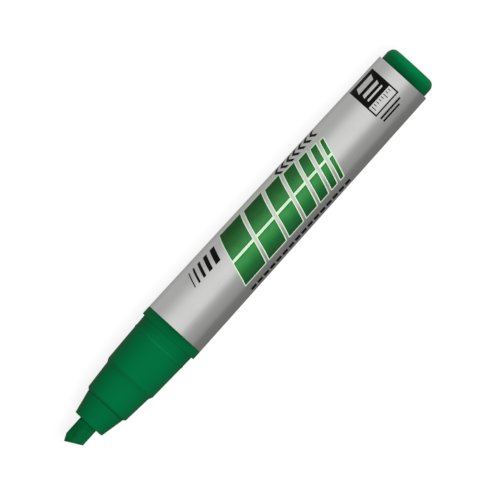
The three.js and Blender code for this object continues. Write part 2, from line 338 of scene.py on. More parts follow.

# %% [markdown]
# The plastic is painted darker next to the barrel's two rims: painted shade at the joints. A ramp over
# the distance from the rim draws it, from (millimetres beyond the rim, share of the colour) pairs. In
# front the painted shade covers the collar, and the edge of its step is painted lighter as painted light.
# At the rear it is darkest in the joint itself. Towards both sides the painted shade fades out.

# %% Painted shade at the joints
PAINTED_SHADE_START, PAINTED_SHADE_END = -1.0, 4.0
# Painted shade next to each rim, with painted light on the edge of the collar's step.
FRONT_PAINTED_SHADE = [
    (-1.0, 0.5), (0.0, 0.42), (0.5, 0.51), (0.95, 0.65), (2.4, 0.745), (2.65, 0.83), (2.9, 1.0),
    (3.1, 0.96), (4.0, 1.0),
]
REAR_PAINTED_SHADE = [
    (-1.0, 0.5), (0.0, 0.22), (0.5, 0.39), (0.95, 0.47), (1.55, 0.62), (2.2, 0.75), (2.85, 0.96),
    (4.0, 1.0),
]
SHADE_FADED_SIDE = 10.0

tube_middle = (tube_front + tube_rear) / 2 * MM
tube_half = (tube_rear - tube_front) / 2 * MM


def beyond_rims(tree, at):
    """The coordinates apart, and how far a point lies beyond the nearer rim along X."""
    apart = node(tree, "SeparateXYZ", {0: at})
    from_middle = node(tree, "Math", {0: apart.outputs["X"], 1: tube_middle}, operation="SUBTRACT")
    reach = node(tree, "Math", {0: from_middle}, operation="ABSOLUTE")
    return apart, node(tree, "Math", {0: reach, 1: tube_half}, operation="SUBTRACT")


apart, beyond = beyond_rims(tree, at)
in_painted_shade = node(tree, "MapRange", {"Value": beyond, "From": metres(PAINTED_SHADE_START, PAINTED_SHADE_END)})
painted_shade_ramps = []
for shade_stops in (FRONT_PAINTED_SHADE, REAR_PAINTED_SHADE):
    ramp = node(tree, "ValToRGB", {"Fac": in_painted_shade})
    set_stops(ramp, [((x - PAINTED_SHADE_START) / (PAINTED_SHADE_END - PAINTED_SHADE_START), grey(shade)) for x, shade in shade_stops])
    painted_shade_ramps.append(ramp)
# Painted shade: the green is darkened by the ramp of the nearer rim.
is_rear = node(tree, "Math", {0: apart.outputs["X"], 1: tube_middle}, operation="GREATER_THAN")
painted_shade = node(tree, "Mix", {0: is_rear, 6: painted_shade_ramps[0], 7: painted_shade_ramps[1]}, data_type="RGBA")
shaded = node(tree, "VectorMath", {0: green.outputs[2], 1: painted_shade.outputs[2]},
              operation="MULTIPLY")
# The painted shade fades out towards both sides.
sideways = node(tree, "Math", {0: apart.outputs["Y"], 1: apart.outputs["Y"]}, operation="MULTIPLY")
shade_fades_sideways = node(tree, "MapRange", {"Value": sideways, "From Max": (SHADE_FADED_SIDE * MM) ** 2})
with_painted_shade = node(tree, "Mix", {0: shade_fades_sideways, 6: shaded, 7: green.outputs[2]}, data_type="RGBA")
print(f"rims at {(tube_middle - tube_half) / MM:.2f} and {(tube_middle + tube_half) / MM:.2f} mm")

# %% [markdown]
# The bead's crest is painted a little paler: a painted highlight where it catches the light from above.
# A ramp that rises and falls over the distance from the rim finds it, and it fades out towards both sides.

# %% Painted highlight on the bead
# Painted highlight on the bead's crest.
HIGHLIGHT_FROM_RIM = 6.8
HIGHLIGHT_HALF = 0.6
HIGHLIGHT_SIDE = 6.5
HIGHLIGHT_SHARE = 0.13

on_bead = node(tree, "MapRange", {
    "Value": beyond, "From": metres(HIGHLIGHT_FROM_RIM - HIGHLIGHT_HALF, HIGHLIGHT_FROM_RIM + HIGHLIGHT_HALF),
})
crest = node(tree, "ValToRGB", {"Fac": on_bead})
set_stops(crest, [(0.0, grey(0)), (0.5, grey(1)), (1.0, grey(0))])
on_top = node(tree, "MapRange", {
    "Value": sideways, "From Max": (HIGHLIGHT_SIDE * MM) ** 2, "To": (HIGHLIGHT_SHARE, 0.0),
})
painted_highlight = node(tree, "Math", {0: crest, 1: on_top}, operation="MULTIPLY")
# Painted highlight: the crest is mixed towards a paler green.
with_painted_highlight = node(tree, "Mix", {0: painted_highlight, 6: with_painted_shade.outputs[2], 7: linear("#259A65")}, data_type="RGBA")
finish(moulded_green, shader, {"Base Color": with_painted_highlight.outputs[2]})

# %% [markdown]
# The barrel is a drawn and tapered aluminium tube with a satin lacquer. Drawing leaves very fine lines
# along the tube, which spread a reflection sideways into one wide soft band. The lines are a noise that is
# stretched far along X. They are finer than a pixel on the real barrel, so they are drawn a little coarser
# here. At its two ends the tube is cut through, and the bare metal there is brighter.

# %% Satin drawn aluminium
LINE_SPACING = 0.3
LINE_STRETCH = 0.012
LINE_HEIGHT = 0.0012
PATCH_SIZE = 9.0
PATCH_SHARE = 0.6
LACQUER_RANGE = (0.5, 1.1)
METAL_ROUGHNESS = (0.34, 0.28)
END_BAND = 0.2

satin_aluminium, tree, shader, at = start_material("satin_drawn_aluminium", {"Metallic": 1.0})
drawn = node(tree, "Mapping", {"Vector": at, "Scale": (LINE_STRETCH, 1, 1)})
lines = node(tree, "TexNoise", {
    "Vector": drawn, "Scale": scale_for(LINE_SPACING), "Detail": 3.0, "Roughness": 0.6,
})
patches = node(tree, "TexNoise", {"Vector": at, "Scale": scale_for(PATCH_SIZE), "Detail": 2.0})
lacquer = node(tree, "Math", {0: patches, 1: PATCH_SHARE, 2: lines}, operation="MULTIPLY_ADD")
bare = node(tree, "MapRange", {"Value": lacquer, "From": LACQUER_RANGE})
metal = node(tree, "Mix", {0: bare, 6: linear("#DEDEDC"), 7: linear("#E6E6E4")}, data_type="RGBA")
_, beyond = beyond_rims(tree, at)
cut_end = node(tree, "MapRange", {"Value": beyond, "From": metres(-END_BAND, -END_BAND / 2)})
with_ends = node(tree, "Mix", {0: cut_end, 6: metal.outputs[2], 7: linear("#F4F4F2")}, data_type="RGBA")
blur = node(tree, "MapRange", {"Value": lacquer, "From": LACQUER_RANGE, "To": METAL_ROUGHNESS})
scored = node(tree, "Bump", {"Strength": 0.5, "Distance": LINE_HEIGHT * MM, "Height": lines})
finish(satin_aluminium, shader, {
    "Base Color": with_ends.outputs[2], "Roughness": blur, "Normal": scored,
})

# %% [markdown]
# The nib is pressed polyester felt, soaked with green ink, so it is dark and quite matt. Its fibres lie
# along the nib. They show as short dark and light streaks and as a slight fuzz in the surface, which a
# stretched noise gives to the colour and to the bump. Single fibres are too fine to show, so they are
# drawn coarser. The half beside the tip is painted darker: painted shade on the side away from the lamps.

# %% Ink-soaked felt
FIBRE_SIZE = 0.16
FIBRE_STRETCH = 0.12
FIBRE_HEIGHT = 0.05
SOAK_SIZE = 2.2
SOAK_SHARE = 0.5
DARK_HALF = (0.0, 0.9)
# Painted shade across Y: the +Y half of the nib is darker.
SIDE_SHADE = (0.14, -0.08)
FELT_RANGE = (0.45, 1.05)

inked_felt, tree, shader, at = start_material("ink_soaked_felt", {
    "Roughness": 0.9, "Specular IOR Level": 0.12,
})
combed = node(tree, "Mapping", {"Vector": at, "Scale": (FIBRE_STRETCH, 1, 1)})
fibres = node(tree, "TexNoise", {
    "Vector": combed, "Scale": scale_for(FIBRE_SIZE), "Detail": 3.0, "Roughness": 0.65,
})
soaked = node(tree, "TexNoise", {"Vector": at, "Scale": scale_for(SOAK_SIZE), "Detail": 2.0})
streaks = node(tree, "Math", {0: soaked, 1: SOAK_SHARE, 2: fibres}, operation="MULTIPLY_ADD")
across = node(tree, "SeparateXYZ", {0: at})
# Painted shade: darker on the +Y half and lighter on the -Y side, added to the fibre streaks.
painted_side_shade = node(tree, "MapRange", {
    "Value": across.outputs["Y"], "From": metres(*DARK_HALF), "To": SIDE_SHADE,
})
shade = node(tree, "Math", {0: streaks, 1: painted_side_shade}, operation="ADD")
streaks_and_shade = node(tree, "MapRange", {"Value": shade, "From": FELT_RANGE})
felt_ink = node(tree, "Mix", {0: streaks_and_shade, 6: linear("#004A24"), 7: linear("#046A3A")}, data_type="RGBA")
fuzz = node(tree, "Bump", {"Strength": 0.6, "Distance": FIBRE_HEIGHT * MM, "Height": fibres})
finish(inked_felt, shader, {"Base Color": felt_ink.outputs[2], "Normal": fuzz})

# %% [markdown]
# The reservoir is a bundle of polyester fibre that holds the ink. Along its side the fibres run straight,
# and on its ends they are cut and show as dots. The same noise, stretched along X, gives both: it is
# streaks on the side and specks on the ends, drawn coarser than the real fibres so that they show. The
# bundle is wet with ink, so it is darker than the plastic.

# %% Inked fibre
BUNDLE_FIBRE = 0.28
BUNDLE_STRETCH = 0.03
BUNDLE_HEIGHT = 0.08

inked_fibre, tree, shader, at = start_material("ink_filled_fibre", {
    "Roughness": 0.85, "Specular IOR Level": 0.2,
})
bundled = node(tree, "Mapping", {"Vector": at, "Scale": (BUNDLE_STRETCH, 1, 1)})
strands = node(tree, "TexNoise", {
    "Vector": bundled, "Scale": scale_for(BUNDLE_FIBRE), "Detail": 4.0, "Roughness": 0.7,
})
raised = node(tree, "MapRange", {"Value": strands, "From": NOISE_RANGE})
strand_ink = node(tree, "Mix", {0: raised, 6: linear("#003D20"), 7: linear("#1B8A56")},
                  data_type="RGBA")
ridges = node(tree, "Bump", {"Strength": 0.7, "Distance": BUNDLE_HEIGHT * MM, "Height": strands})
finish(inked_fibre, shader, {"Base Color": strand_ink.outputs[2], "Normal": ridges})

# %% [markdown]
# A thin clear film is wrapped round the bundle and welded along one line. It could be a glass shader, but
# light passes a film this thin almost straight, so a mostly see-through gloss is nearer to it. The fibre
# wets its inside with ink, so the film looks green and only its gloss is pale. Slow wrinkles in the bump
# break that gloss up.

# %% Clear film
WRINKLE_SIZE = 2.5
WRINKLE_STRETCH = 0.3
WRINKLE_HEIGHT = 0.12
FILM_ROUGHNESS = (0.12, 0.3)
FILM_ALPHA = (0.2, 0.34)

clear_film, tree, shader, at = start_material("clear_polypropylene_film", {
    "Base Color": linear("#2C7F56"), "IOR": 1.49,
})
pulled = node(tree, "Mapping", {"Vector": at, "Scale": (WRINKLE_STRETCH, 1, 1)})
wrinkles = node(tree, "TexNoise", {"Vector": pulled, "Scale": scale_for(WRINKLE_SIZE), "Detail": 3.0})
crease = node(tree, "Bump", {"Strength": 0.6, "Distance": WRINKLE_HEIGHT * MM, "Height": wrinkles})
haze = node(tree, "MapRange", {"Value": wrinkles, "To": FILM_ROUGHNESS})
cover = node(tree, "MapRange", {"Value": wrinkles, "To": FILM_ALPHA})
finish(clear_film, shader, {"Roughness": haze, "Alpha": cover, "Normal": crease})

# %% [markdown]
# Almost every piece of a marker is turned: it has the same section all round its axis. So one helper makes
# them. It draws half of the section as a wire, rounds the corners of that wire as a mould or a lathe tool
# would, and spins it round the X axis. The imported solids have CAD_FLATS flats. The pieces here are truly
# round and just fit inside those flats, so each radius is a little smaller, by the factor TRUE_ROUND. A
# second helper makes an object of a finished mesh and lifts it to the marker's axis.

# %% Turning helpers
CAD_FLATS = 48
TRUE_ROUND = math.cos(math.pi / CAD_FLATS)
SPIN_STEPS = 192
CORNER_STEPS = 4
MERGE_DISTANCE = 0.001
SHARP_ANGLE = math.radians(50)
FINE_EDGE = 0.1


def round_off(bm, geom, size, steps, affect="EDGES", clamp=False):
    """Bevels edges, or the corners of a wire, by this many millimetres."""
    bmesh.ops.bevel(bm, geom=geom, offset=size * MM, offset_type="OFFSET", segments=steps, profile=0.5,
                    affect=affect, clamp_overlap=clamp, material=-1)


def turned(profile, is_ring=True):
    """Spins a profile of (x, radius, corner rounding) round the X axis. A ring's profile is closed."""
    bm = bmesh.new()
    points = [bm.verts.new((x * MM, 0, radius * TRUE_ROUND * MM)) for x, radius, _ in profile]
    for start, end in zip(points, points[1:] + points[:1] if is_ring else points[1:]):
        bm.edges.new((start, end))
    for size in sorted({rounding for *_, rounding in profile if rounding}):
        corners = [point for point, (*_, rounding) in zip(points, profile) if rounding == size]
        round_off(bm, corners, size, CORNER_STEPS, "VERTICES")
    bmesh.ops.spin(bm, geom=bm.verts[:] + bm.edges[:], cent=(0, 0, 0), axis=(1, 0, 0), angle=math.tau,
                   steps=SPIN_STEPS, use_merge=True)
    bmesh.ops.remove_doubles(bm, verts=bm.verts[:], dist=MERGE_DISTANCE * MM)
    bmesh.ops.recalc_face_normals(bm, faces=bm.faces[:])
    return bm


def add_piece(name, bm, material):
    """Makes an object of a bmesh, smooth up to its sharp edges, with the larger faces leading."""
    bmesh.ops.translate(bm, verts=bm.verts[:], vec=(0, 0, axis_height * MM))
    open_edges = sum(not edge.is_manifold for edge in bm.edges)
    for face in bm.faces:
        face.smooth = True
    mesh = bpy.data.meshes.new(name)
    bm.to_mesh(mesh)
    bm.free()
    mesh.set_sharp_from_angle(angle=SHARP_ANGLE)
    mesh.materials.append(material)
    piece = bpy.data.objects.new(name, mesh)
    scene.collection.objects.link(piece)
    even = piece.modifiers.new("even_shading", "WEIGHTED_NORMAL")
    even.mode = "FACE_AREA"
    even.weight = 100
    even.keep_sharp = True
    print(f"{name}: {len(mesh.vertices)} points, {len(mesh.polygons)} faces, {open_edges} open edges")
    return piece


print(f"radii are drawn {1 - TRUE_ROUND:.2%} smaller than the flats' corners")

# %% [markdown]
# Four small helpers serve more than one piece. A box on the axis starts the nib and the two hollows that
# it goes into. Two tests pick the edges that run along the axis and the faces that close an end. Faces
# can also be drawn out of a round wall, which makes a low rib or strip on it.

# %% Helpers for boxes and ribs
FACE_ANGLE = 360 / SPIN_STEPS
END_NORMAL = 0.5


def add_box(bm, middle, length, width, thickness):
    """Adds a box with its middle on the X axis, and gives its points and faces."""
    points = bmesh.ops.create_cube(bm, size=MM)["verts"]
    bmesh.ops.scale(bm, verts=points, vec=(length, width, thickness))
    bmesh.ops.translate(bm, verts=points, vec=(middle * MM, 0, 0))
    return points, {face for point in points for face in point.link_faces}


def lengthwise(edges):
    """Those edges that reach more than a millimetre along X."""
    return [edge for edge in edges if abs(edge.verts[0].co.x - edge.verts[1].co.x) > MM]


def is_end(face):
    """Whether a face looks along the X axis."""
    return abs(face.normal.x) > END_NORMAL


def draw_out(bm, faces, height):
    """Draws faces out of a round wall, away from the X axis. A negative height goes towards it."""
    grown = bmesh.ops.extrude_face_region(bm, geom=faces)
    for point in (item for item in grown["geom"] if isinstance(item, bmesh.types.BMVert)):
        point.co.yz *= 1 + height * MM / math.hypot(point.co.y, point.co.z)
    bmesh.ops.delete(bm, geom=faces, context="FACES")


print("one face of a turned piece spans", FACE_ANGLE, "degrees")

# %% [markdown]
# The barrel is a tube that tapers to the rear, 98 mm long with a wall of under 1 mm. Its bore is straight
# at both ends, where the front section and the plug press in, and tapers between. A softened corner at
# each rim catches the light as the thin pale line that a cut and deburred tube shows.

# %% Barrel
TUBE_FRONT_RADIUS = 9.88
TUBE_REAR_RADIUS = 9.06
FRONT_BORE = 8.888
REAR_BORE = 8.16
LAND_MARGIN = 2.0
TUBE_EDGE = 0.16

barrel = add_piece("barrel_tube_round", turned([
    (tube_front, FRONT_BORE, FINE_EDGE),
    (tube_front, TUBE_FRONT_RADIUS, TUBE_EDGE),
    (tube_rear, TUBE_REAR_RADIUS, TUBE_EDGE),
    (tube_rear, REAR_BORE, FINE_EDGE),
    (plug_front - LAND_MARGIN, REAR_BORE, 0),
    (spigot_rear, FRONT_BORE, 0),
]), satin_aluminium)

# %% [markdown]
# Two shapes come back in several profiles. A crown is a low rounded bead: the one that the cap snaps
# over, and the snap ring that holds the nose. Sealing ribs stand on the front section's spigot and on
# the rear plug's shank, and press against the barrel's bore.

# %% Beads and sealing ribs
CROWN_STEPS = 8
RIBS = 3
RIB_FIRST = 2.6
RIB_PITCH = 3.2
RIB_WIDTH = 0.9
RIB_HEIGHT = 0.22
RIB_EDGE = 0.08


def crown(centre, width, height, radius_at):
    """A rounded bead that stands on the wall whose radius the last value gives."""
    points = []
    for step in range(CROWN_STEPS + 1):
        x = centre + width * (step / CROWN_STEPS - 0.5)
        points.append((x, radius_at(x) + height * math.sin(math.pi * step / CROWN_STEPS), 0))
    return points


def sealing_ribs(first, foot):
    """Ribs with sloping flanks, from first towards +X."""
    points = []
    for rib in range(RIBS):
        start = first + rib * RIB_PITCH
        for share, rise in ((0, 0), (1 / 3, RIB_HEIGHT), (2 / 3, RIB_HEIGHT), (1, 0)):
            points.append((start + share * RIB_WIDTH, foot + rise, RIB_EDGE))
    return points


print("corners in a bead and in a set of ribs:", CROWN_STEPS + 1, len(sealing_ribs(0, 0)))

# %% [markdown]
# The front section is one hollow moulding. Outside it steps up from the nose to the collar that meets
# the barrel, and the low bead near the collar is what a cap snaps over. Behind the collar a spigot with
# sealing ribs goes into the barrel. Inside, the nose's shank snaps into a narrow bore, and behind it a
# wide chamber holds the reservoir. Pairs are (distance behind the section's front, radius).

# %% Front section
MIDDLE_FRONT = (0.7, 7.33)
MIDDLE_REAR = (9.71, 8.05)
GRIP_FRONT = (10.58, 8.60)
GRIP_REAR = (26.78, 9.18)
COLLAR_RADIUS = 9.90
NOSE_REAR_RADIUS = 6.63
SHANK_BORE = 5.60
CHAMBER_RADIUS = 7.60
CHAMBER_CORNER = 0.2
SPIGOT_RADIUS = 8.618
SPIGOT_LEAD = 0.6
LEAD_EDGE = 0.15
SEAM_EDGE = 0.2
CONE_EDGE = 0.4
COLLAR_FOOT, COLLAR_FRONT_EDGE, COLLAR_REAR_EDGE = 0.12, 0.16, 0.14
BEAD_SETBACK = 3.9
BEAD_WIDTH = 1.1
BEAD_HEIGHT = 0.11
SNAP_SETBACK = 5.0
SNAP_WIDTH = 1.6
SNAP_HEIGHT = 0.3

grip_front, grip_rear = section_front + GRIP_FRONT[0], section_front + GRIP_REAR[0]
grip_slope = (GRIP_REAR[1] - GRIP_FRONT[1]) / (grip_rear - grip_front)
bead_middle = grip_rear - BEAD_SETBACK
section = turned([
    (section_front, SHANK_BORE, 0),
    (section_front, NOSE_REAR_RADIUS, SEAM_EDGE),
    (section_front + MIDDLE_FRONT[0], MIDDLE_FRONT[1], SEAM_EDGE),
    (section_front + MIDDLE_REAR[0], MIDDLE_REAR[1], CONE_EDGE),
    (grip_front, GRIP_FRONT[1], CONE_EDGE),
    *crown(bead_middle, BEAD_WIDTH, BEAD_HEIGHT,
           lambda x: GRIP_FRONT[1] + grip_slope * (x - grip_front)),
    (grip_rear, GRIP_REAR[1], COLLAR_FOOT),
    (grip_rear, COLLAR_RADIUS, COLLAR_FRONT_EDGE),
    (tube_front, COLLAR_RADIUS, COLLAR_REAR_EDGE),
    (tube_front, SPIGOT_RADIUS, 0),
    *sealing_ribs(tube_front + RIB_FIRST, SPIGOT_RADIUS),
    (spigot_rear - SPIGOT_LEAD, SPIGOT_RADIUS, LEAD_EDGE),
    (spigot_rear, SPIGOT_RADIUS - SPIGOT_LEAD, FINE_EDGE),
    (spigot_rear, CHAMBER_RADIUS, FINE_EDGE),
    (spigot_rear - SPIGOT_LEAD, CHAMBER_RADIUS, 0),
    (core_front + CHAMBER_CORNER, CHAMBER_RADIUS, 0),
    (core_front, CHAMBER_RADIUS, 0),
    (core_front, SHANK_BORE, 0),
    *crown(section_front + SNAP_SETBACK, SNAP_WIDTH, SNAP_HEIGHT, lambda x: SHANK_BORE)[::-1],
])
print(f"the bead's crest is {tube_front - bead_middle:.2f} mm from the barrel's rim")

# %% [markdown]
# Six low ribs run along the inside of the chamber. They keep the reservoir in the middle and leave room
# for air beside it. They are drawn out of the chamber's own wall: the long faces where a rib goes are
# picked by their angle round the axis, and pushed inwards as one region each.

# %% Centring ribs
CENTRING_RIBS = 6
CENTRING_RIB_HEIGHT = 0.35
CENTRING_RIB_HALF = 2 * FACE_ANGLE
WALL_TOLERANCE = 0.02
LONG_FACE_AREA = 1.0

rib_angle = 360 / CENTRING_RIBS
walls = []
for face in section.faces:
    middle = face.calc_center_median()
    off_wall = math.hypot(middle.y, middle.z) / MM - CHAMBER_RADIUS * TRUE_ROUND
    is_chamber = abs(off_wall) < WALL_TOLERANCE and face.calc_area() > LONG_FACE_AREA * MM * MM
    turn = math.degrees(math.atan2(middle.y, middle.z)) % rib_angle
    if is_chamber and min(turn, rib_angle - turn) < CENTRING_RIB_HALF:
        walls.append(face)
draw_out(section, walls, -CENTRING_RIB_HEIGHT)
front_section = add_piece("front_section_moulding", section, moulded_green)
print("rib faces:", len(walls))

# %% [markdown]
# The nose is a short cone with a rectangular slot for the nib and a round shank behind it. The outside is
# turned as before, but its profile stays open at both ends. The slot is a box without ends, and the two
# flat rings between the round edge and the slot's edge are filled from their outlines.

# %% Nose
NOSE_FRONT_RADIUS = 5.10
NOSE_EDGE = 0.25
SHANK_RADIUS = 5.50
SHANK_LEAD = 0.5
SLOT_WIDTH = 6.16
SLOT_THICKNESS = 4.56
SLOT_CORNER, SLOT_CORNER_STEPS = 0.25, 3
SLOT_RIM, SLOT_RIM_STEPS = 0.12, 2
RIM_ANGLE = math.radians(70)
NEAR = 0.01


def is_at(station, edge):
    """Whether both ends of an edge lie at this place along X."""
    return all(abs(point.co.x - station * MM) < NEAR * MM for point in edge.verts)


nose = turned([
    (nose_front, NOSE_FRONT_RADIUS - 2 * NOSE_EDGE, 0),
    (nose_front, NOSE_FRONT_RADIUS, NOSE_EDGE),
    (section_front, NOSE_REAR_RADIUS, SEAM_EDGE),
    (section_front, SHANK_RADIUS, 0),
    *crown(section_front + SNAP_SETBACK, SNAP_WIDTH, SNAP_HEIGHT, lambda x: SHANK_RADIUS),
    (shank_rear - SHANK_LEAD, SHANK_RADIUS, LEAD_EDGE),
    (shank_rear, SHANK_RADIUS - SHANK_LEAD, FINE_EDGE),
    (shank_rear, SHANK_RADIUS - 2 * SHANK_LEAD, 0),
], is_ring=False)
corners, slot_faces = add_box(
    nose, (nose_front + shank_rear) / 2, shank_rear - nose_front, SLOT_WIDTH, SLOT_THICKNESS)
bmesh.ops.delete(nose, geom=[face for face in slot_faces if is_end(face)], context="FACES_ONLY")
round_off(nose, lengthwise({edge for point in corners for edge in point.link_edges}),
          SLOT_CORNER, SLOT_CORNER_STEPS)
for station in (nose_front, shank_rear):
    outlines = [edge for edge in nose.edges if edge.is_boundary and is_at(station, edge)]
    bmesh.ops.triangle_fill(nose, edges=outlines, use_beauty=True)
bmesh.ops.recalc_face_normals(nose, faces=nose.faces[:])
rim = [edge for edge in nose.edges if len(edge.link_faces) == 2 and is_at(nose_front, edge)
       and edge.calc_face_angle() > RIM_ANGLE]
round_off(nose, rim, SLOT_RIM, SLOT_RIM_STEPS)
nib_holder = add_piece("nose_moulding", nose, moulded_green)

# %% [markdown]
# The nib starts as a box of its full size. Its long edges are bevelled, then planes cut the slanted
# writing edge, the relief beside it and the two flanks of the wedge, which run parallel to the writing
# edge. Over WEDGE_LENGTH each flank rises to WEDGE_OVERRUN above the nib's face. The tail is pointed so
# that it slides into the reservoir. A small bevel everywhere takes away the sharpness that felt can't
# have.

# %% Nib
NIB_WIDTH = 6.0
NIB_THICKNESS = 4.4
NIB_BEVEL = 0.7
APEX_OFFSET = 1.95
CHISEL_SETBACK = 2.7
RELIEF_SETBACK = 2.2
EDGE_THICKNESS = 1.3
WEDGE_LENGTH = 4.6
WEDGE_OVERRUN = 0.5
TAIL_POINT = 1.5
FELT_SOFTNESS, FELT_STEPS = 0.16, 3
FLAT_ANGLE = math.radians(12)
CUT_TOLERANCE = 1e-7


def slice_off(bm, point, normal):
    """Cuts away what lies on the normal's side of a plane, and closes the cut."""
    bmesh.ops.bisect_plane(bm, geom=bm.verts[:] + bm.edges[:] + bm.faces[:], dist=CUT_TOLERANCE,
                           plane_co=Vector(point) * MM, plane_no=normal, clear_outer=True)
    bmesh.ops.holes_fill(bm, edges=[edge for edge in bm.edges if edge.is_boundary], sides=0)


felt = bmesh.new()
add_box(felt, (nib_tip + nib_end) / 2, nib_end - nib_tip, NIB_WIDTH, NIB_THICKNESS)
round_off(felt, lengthwise(felt.edges), NIB_BEVEL, 1)
apex = (nib_tip, APEX_OFFSET, 0)
half_width, half_thickness = NIB_WIDTH / 2, NIB_THICKNESS / 2
slant = math.atan2(CHISEL_SETBACK, APEX_OFFSET + half_width)
into_nib = Vector((math.cos(slant), math.sin(slant), 0))
rise = half_thickness + WEDGE_OVERRUN - EDGE_THICKNESS / 2
slice_off(felt, apex, -into_nib)
slice_off(felt, apex, (-(half_width - APEX_OFFSET), RELIEF_SETBACK, 0))
for side in (-1, 1):
    flank = into_nib * -rise + Vector((0, 0, side * WEDGE_LENGTH))
    slice_off(felt, (nib_tip, APEX_OFFSET, side * EDGE_THICKNESS / 2), flank)
    slice_off(felt, (nib_end, side * (half_width - TAIL_POINT), 0), (1, side, 0))
bmesh.ops.recalc_face_normals(felt, faces=felt.faces[:])
sharp = [edge for edge in felt.edges if edge.calc_face_angle() > FLAT_ANGLE]
round_off(felt, sharp, FELT_SOFTNESS, FELT_STEPS, clamp=True)
nib = add_piece("felt_nib", felt, inked_felt)

# %% [markdown]
# The rear plug is a hollow cup. Its button rests on the barrel's rim and ends in an elliptical rounding,
# its shank has the same sealing ribs, and its cup holds the reservoir's rear end. The plastic came into the
# mould at the middle of the button, so a small sunk ring is left there, round a stub that was cut off level
# with the face.

# %% Rear plug
BUTTON_RADIUS = 8.28
BUTTON_EDGE = 0.3
PLUG_RADIUS = 7.89
PLUG_EDGE = 0.25
CUP_RADIUS = 7.25
HOLLOW_RADIUS = 6.15
HOLLOW_EDGE = 0.3
END_WALL = 1.4
ROUNDING_LENGTH = 2.4
ROUNDING_DEPTH = 2.1
ROUNDING_STEPS = 10
GATE_RADIUS = 1.3
GATE_DEPTH = 0.3
STUB_RADIUS = 0.45
STUB_EDGE = 0.05

rounding = []
for step in range(ROUNDING_STEPS + 1):
    angle = math.pi / 2 * step / ROUNDING_STEPS
    x = plug_rear - ROUNDING_LENGTH * (1 - math.sin(angle))
    rounding.append((x, BUTTON_RADIUS - ROUNDING_DEPTH * (1 - math.cos(angle)), 0))
rear_plug = add_piece("rear_plug_moulding", turned([
    (plug_rear - END_WALL, 0, 0),
    (plug_rear - END_WALL, HOLLOW_RADIUS, HOLLOW_EDGE),
    (core_rear, HOLLOW_RADIUS, 0),
    (core_rear, CUP_RADIUS, 0),
    (plug_front, CUP_RADIUS, FINE_EDGE),
    (plug_front, PLUG_RADIUS, PLUG_EDGE),
    *sealing_ribs(plug_front + RIB_FIRST, PLUG_RADIUS),
    (tube_rear, PLUG_RADIUS, 0),
    (tube_rear, BUTTON_RADIUS, BUTTON_EDGE),
    *rounding,
    (plug_rear, GATE_RADIUS, FINE_EDGE),
    (plug_rear - GATE_DEPTH, GATE_RADIUS - GATE_DEPTH, FINE_EDGE),
    (plug_rear - GATE_DEPTH, STUB_RADIUS, STUB_EDGE),
    (plug_rear, STUB_RADIUS, STUB_EDGE),
    (plug_rear, 0, 0),
], is_ring=False), moulded_green)

# %% [markdown]
# The reservoir's core is a solid bundle with a rectangular socket for the nib's tail. Its front is open in
# the profile, as the nose is, and the socket is a box that is closed only at its rear end.

# %% Reservoir core
CORE_RADIUS = 6.78
CORE_EDGE = 0.2
FRONT_RING = 0.5
SOCKET_DEPTH = 8.3
SOCKET_WIDTH = 6.2
SOCKET_THICKNESS = 4.6

core = turned([
    (core_front, CORE_RADIUS - FRONT_RING, 0),
    (core_front, CORE_RADIUS, CORE_EDGE),
    (core_rear, CORE_RADIUS, CORE_EDGE),
    (core_rear, 0, 0),
], is_ring=False)
_, socket_faces = add_box(
    core, core_front + SOCKET_DEPTH / 2, SOCKET_DEPTH, SOCKET_WIDTH, SOCKET_THICKNESS)
mouth = [face for face in socket_faces if face.calc_center_median().x < (core_front + NEAR) * MM]
bmesh.ops.delete(core, geom=mouth, context="FACES_ONLY")
outlines = [edge for edge in core.edges if edge.is_boundary]
bmesh.ops.triangle_fill(core, edges=outlines, use_beauty=True)
bmesh.ops.recalc_face_normals(core, faces=core.faces[:])
reservoir_core = add_piece("reservoir_fibre", core, inked_fibre)

# %% [markdown]
# The film is a thin sleeve. Where its two edges are welded, a narrow double strip stands up a little, and
# it runs the whole length. The strip is drawn out of the sleeve's outer faces, as the centring ribs are.

# %% Reservoir film
FILM_RADIUS = 6.95
FILM_WALL = 0.12
WELD_ANGLE = 30
WELD_HALF = 3 * FACE_ANGLE
WELD_HEIGHT = 0.1

sleeve = turned([
    (core_front, FILM_RADIUS - FILM_WALL, 0),
    (core_front, FILM_RADIUS, 0),
    (core_rear, FILM_RADIUS, 0),
    (core_rear, FILM_RADIUS - FILM_WALL, 0),
])
weld = []
for face in sleeve.faces:
    middle = face.calc_center_median()
    is_outside = math.hypot(middle.y, middle.z) > (FILM_RADIUS - FILM_WALL / 2) * TRUE_ROUND * MM
    turn = math.degrees(math.atan2(middle.y, middle.z)) - WELD_ANGLE
    if is_outside and not is_end(face) and abs(turn) < WELD_HALF:
        weld.append(face)
draw_out(sleeve, weld, WELD_HEIGHT * TRUE_ROUND)
reservoir_film = add_piece("reservoir_film_wrap", sleeve, clear_film)
print("weld faces:", len(weld))

# %% [markdown]
# The barrel is screen printed: thin opaque ink straight on the metal, laid down one colour after the
# other. The print could be a mask in the barrel's material, but cut shapes stay crisp from close by. Each
# shape is drawn flat, with x along the barrel and an arc length across it. Its outlines are filled, with
# windows where the metal shows through, and sliced into narrow strips. It is then given the ink's
# thickness and rolled onto the tapered barrel, so that only hundredths of a millimetre stand out.

# %% Print helper
INK_ROOT = 0.02
INK_STRIP = 0.4
STRIP_TOLERANCE = 1e-8
PRINT_RADIUS = 9.45


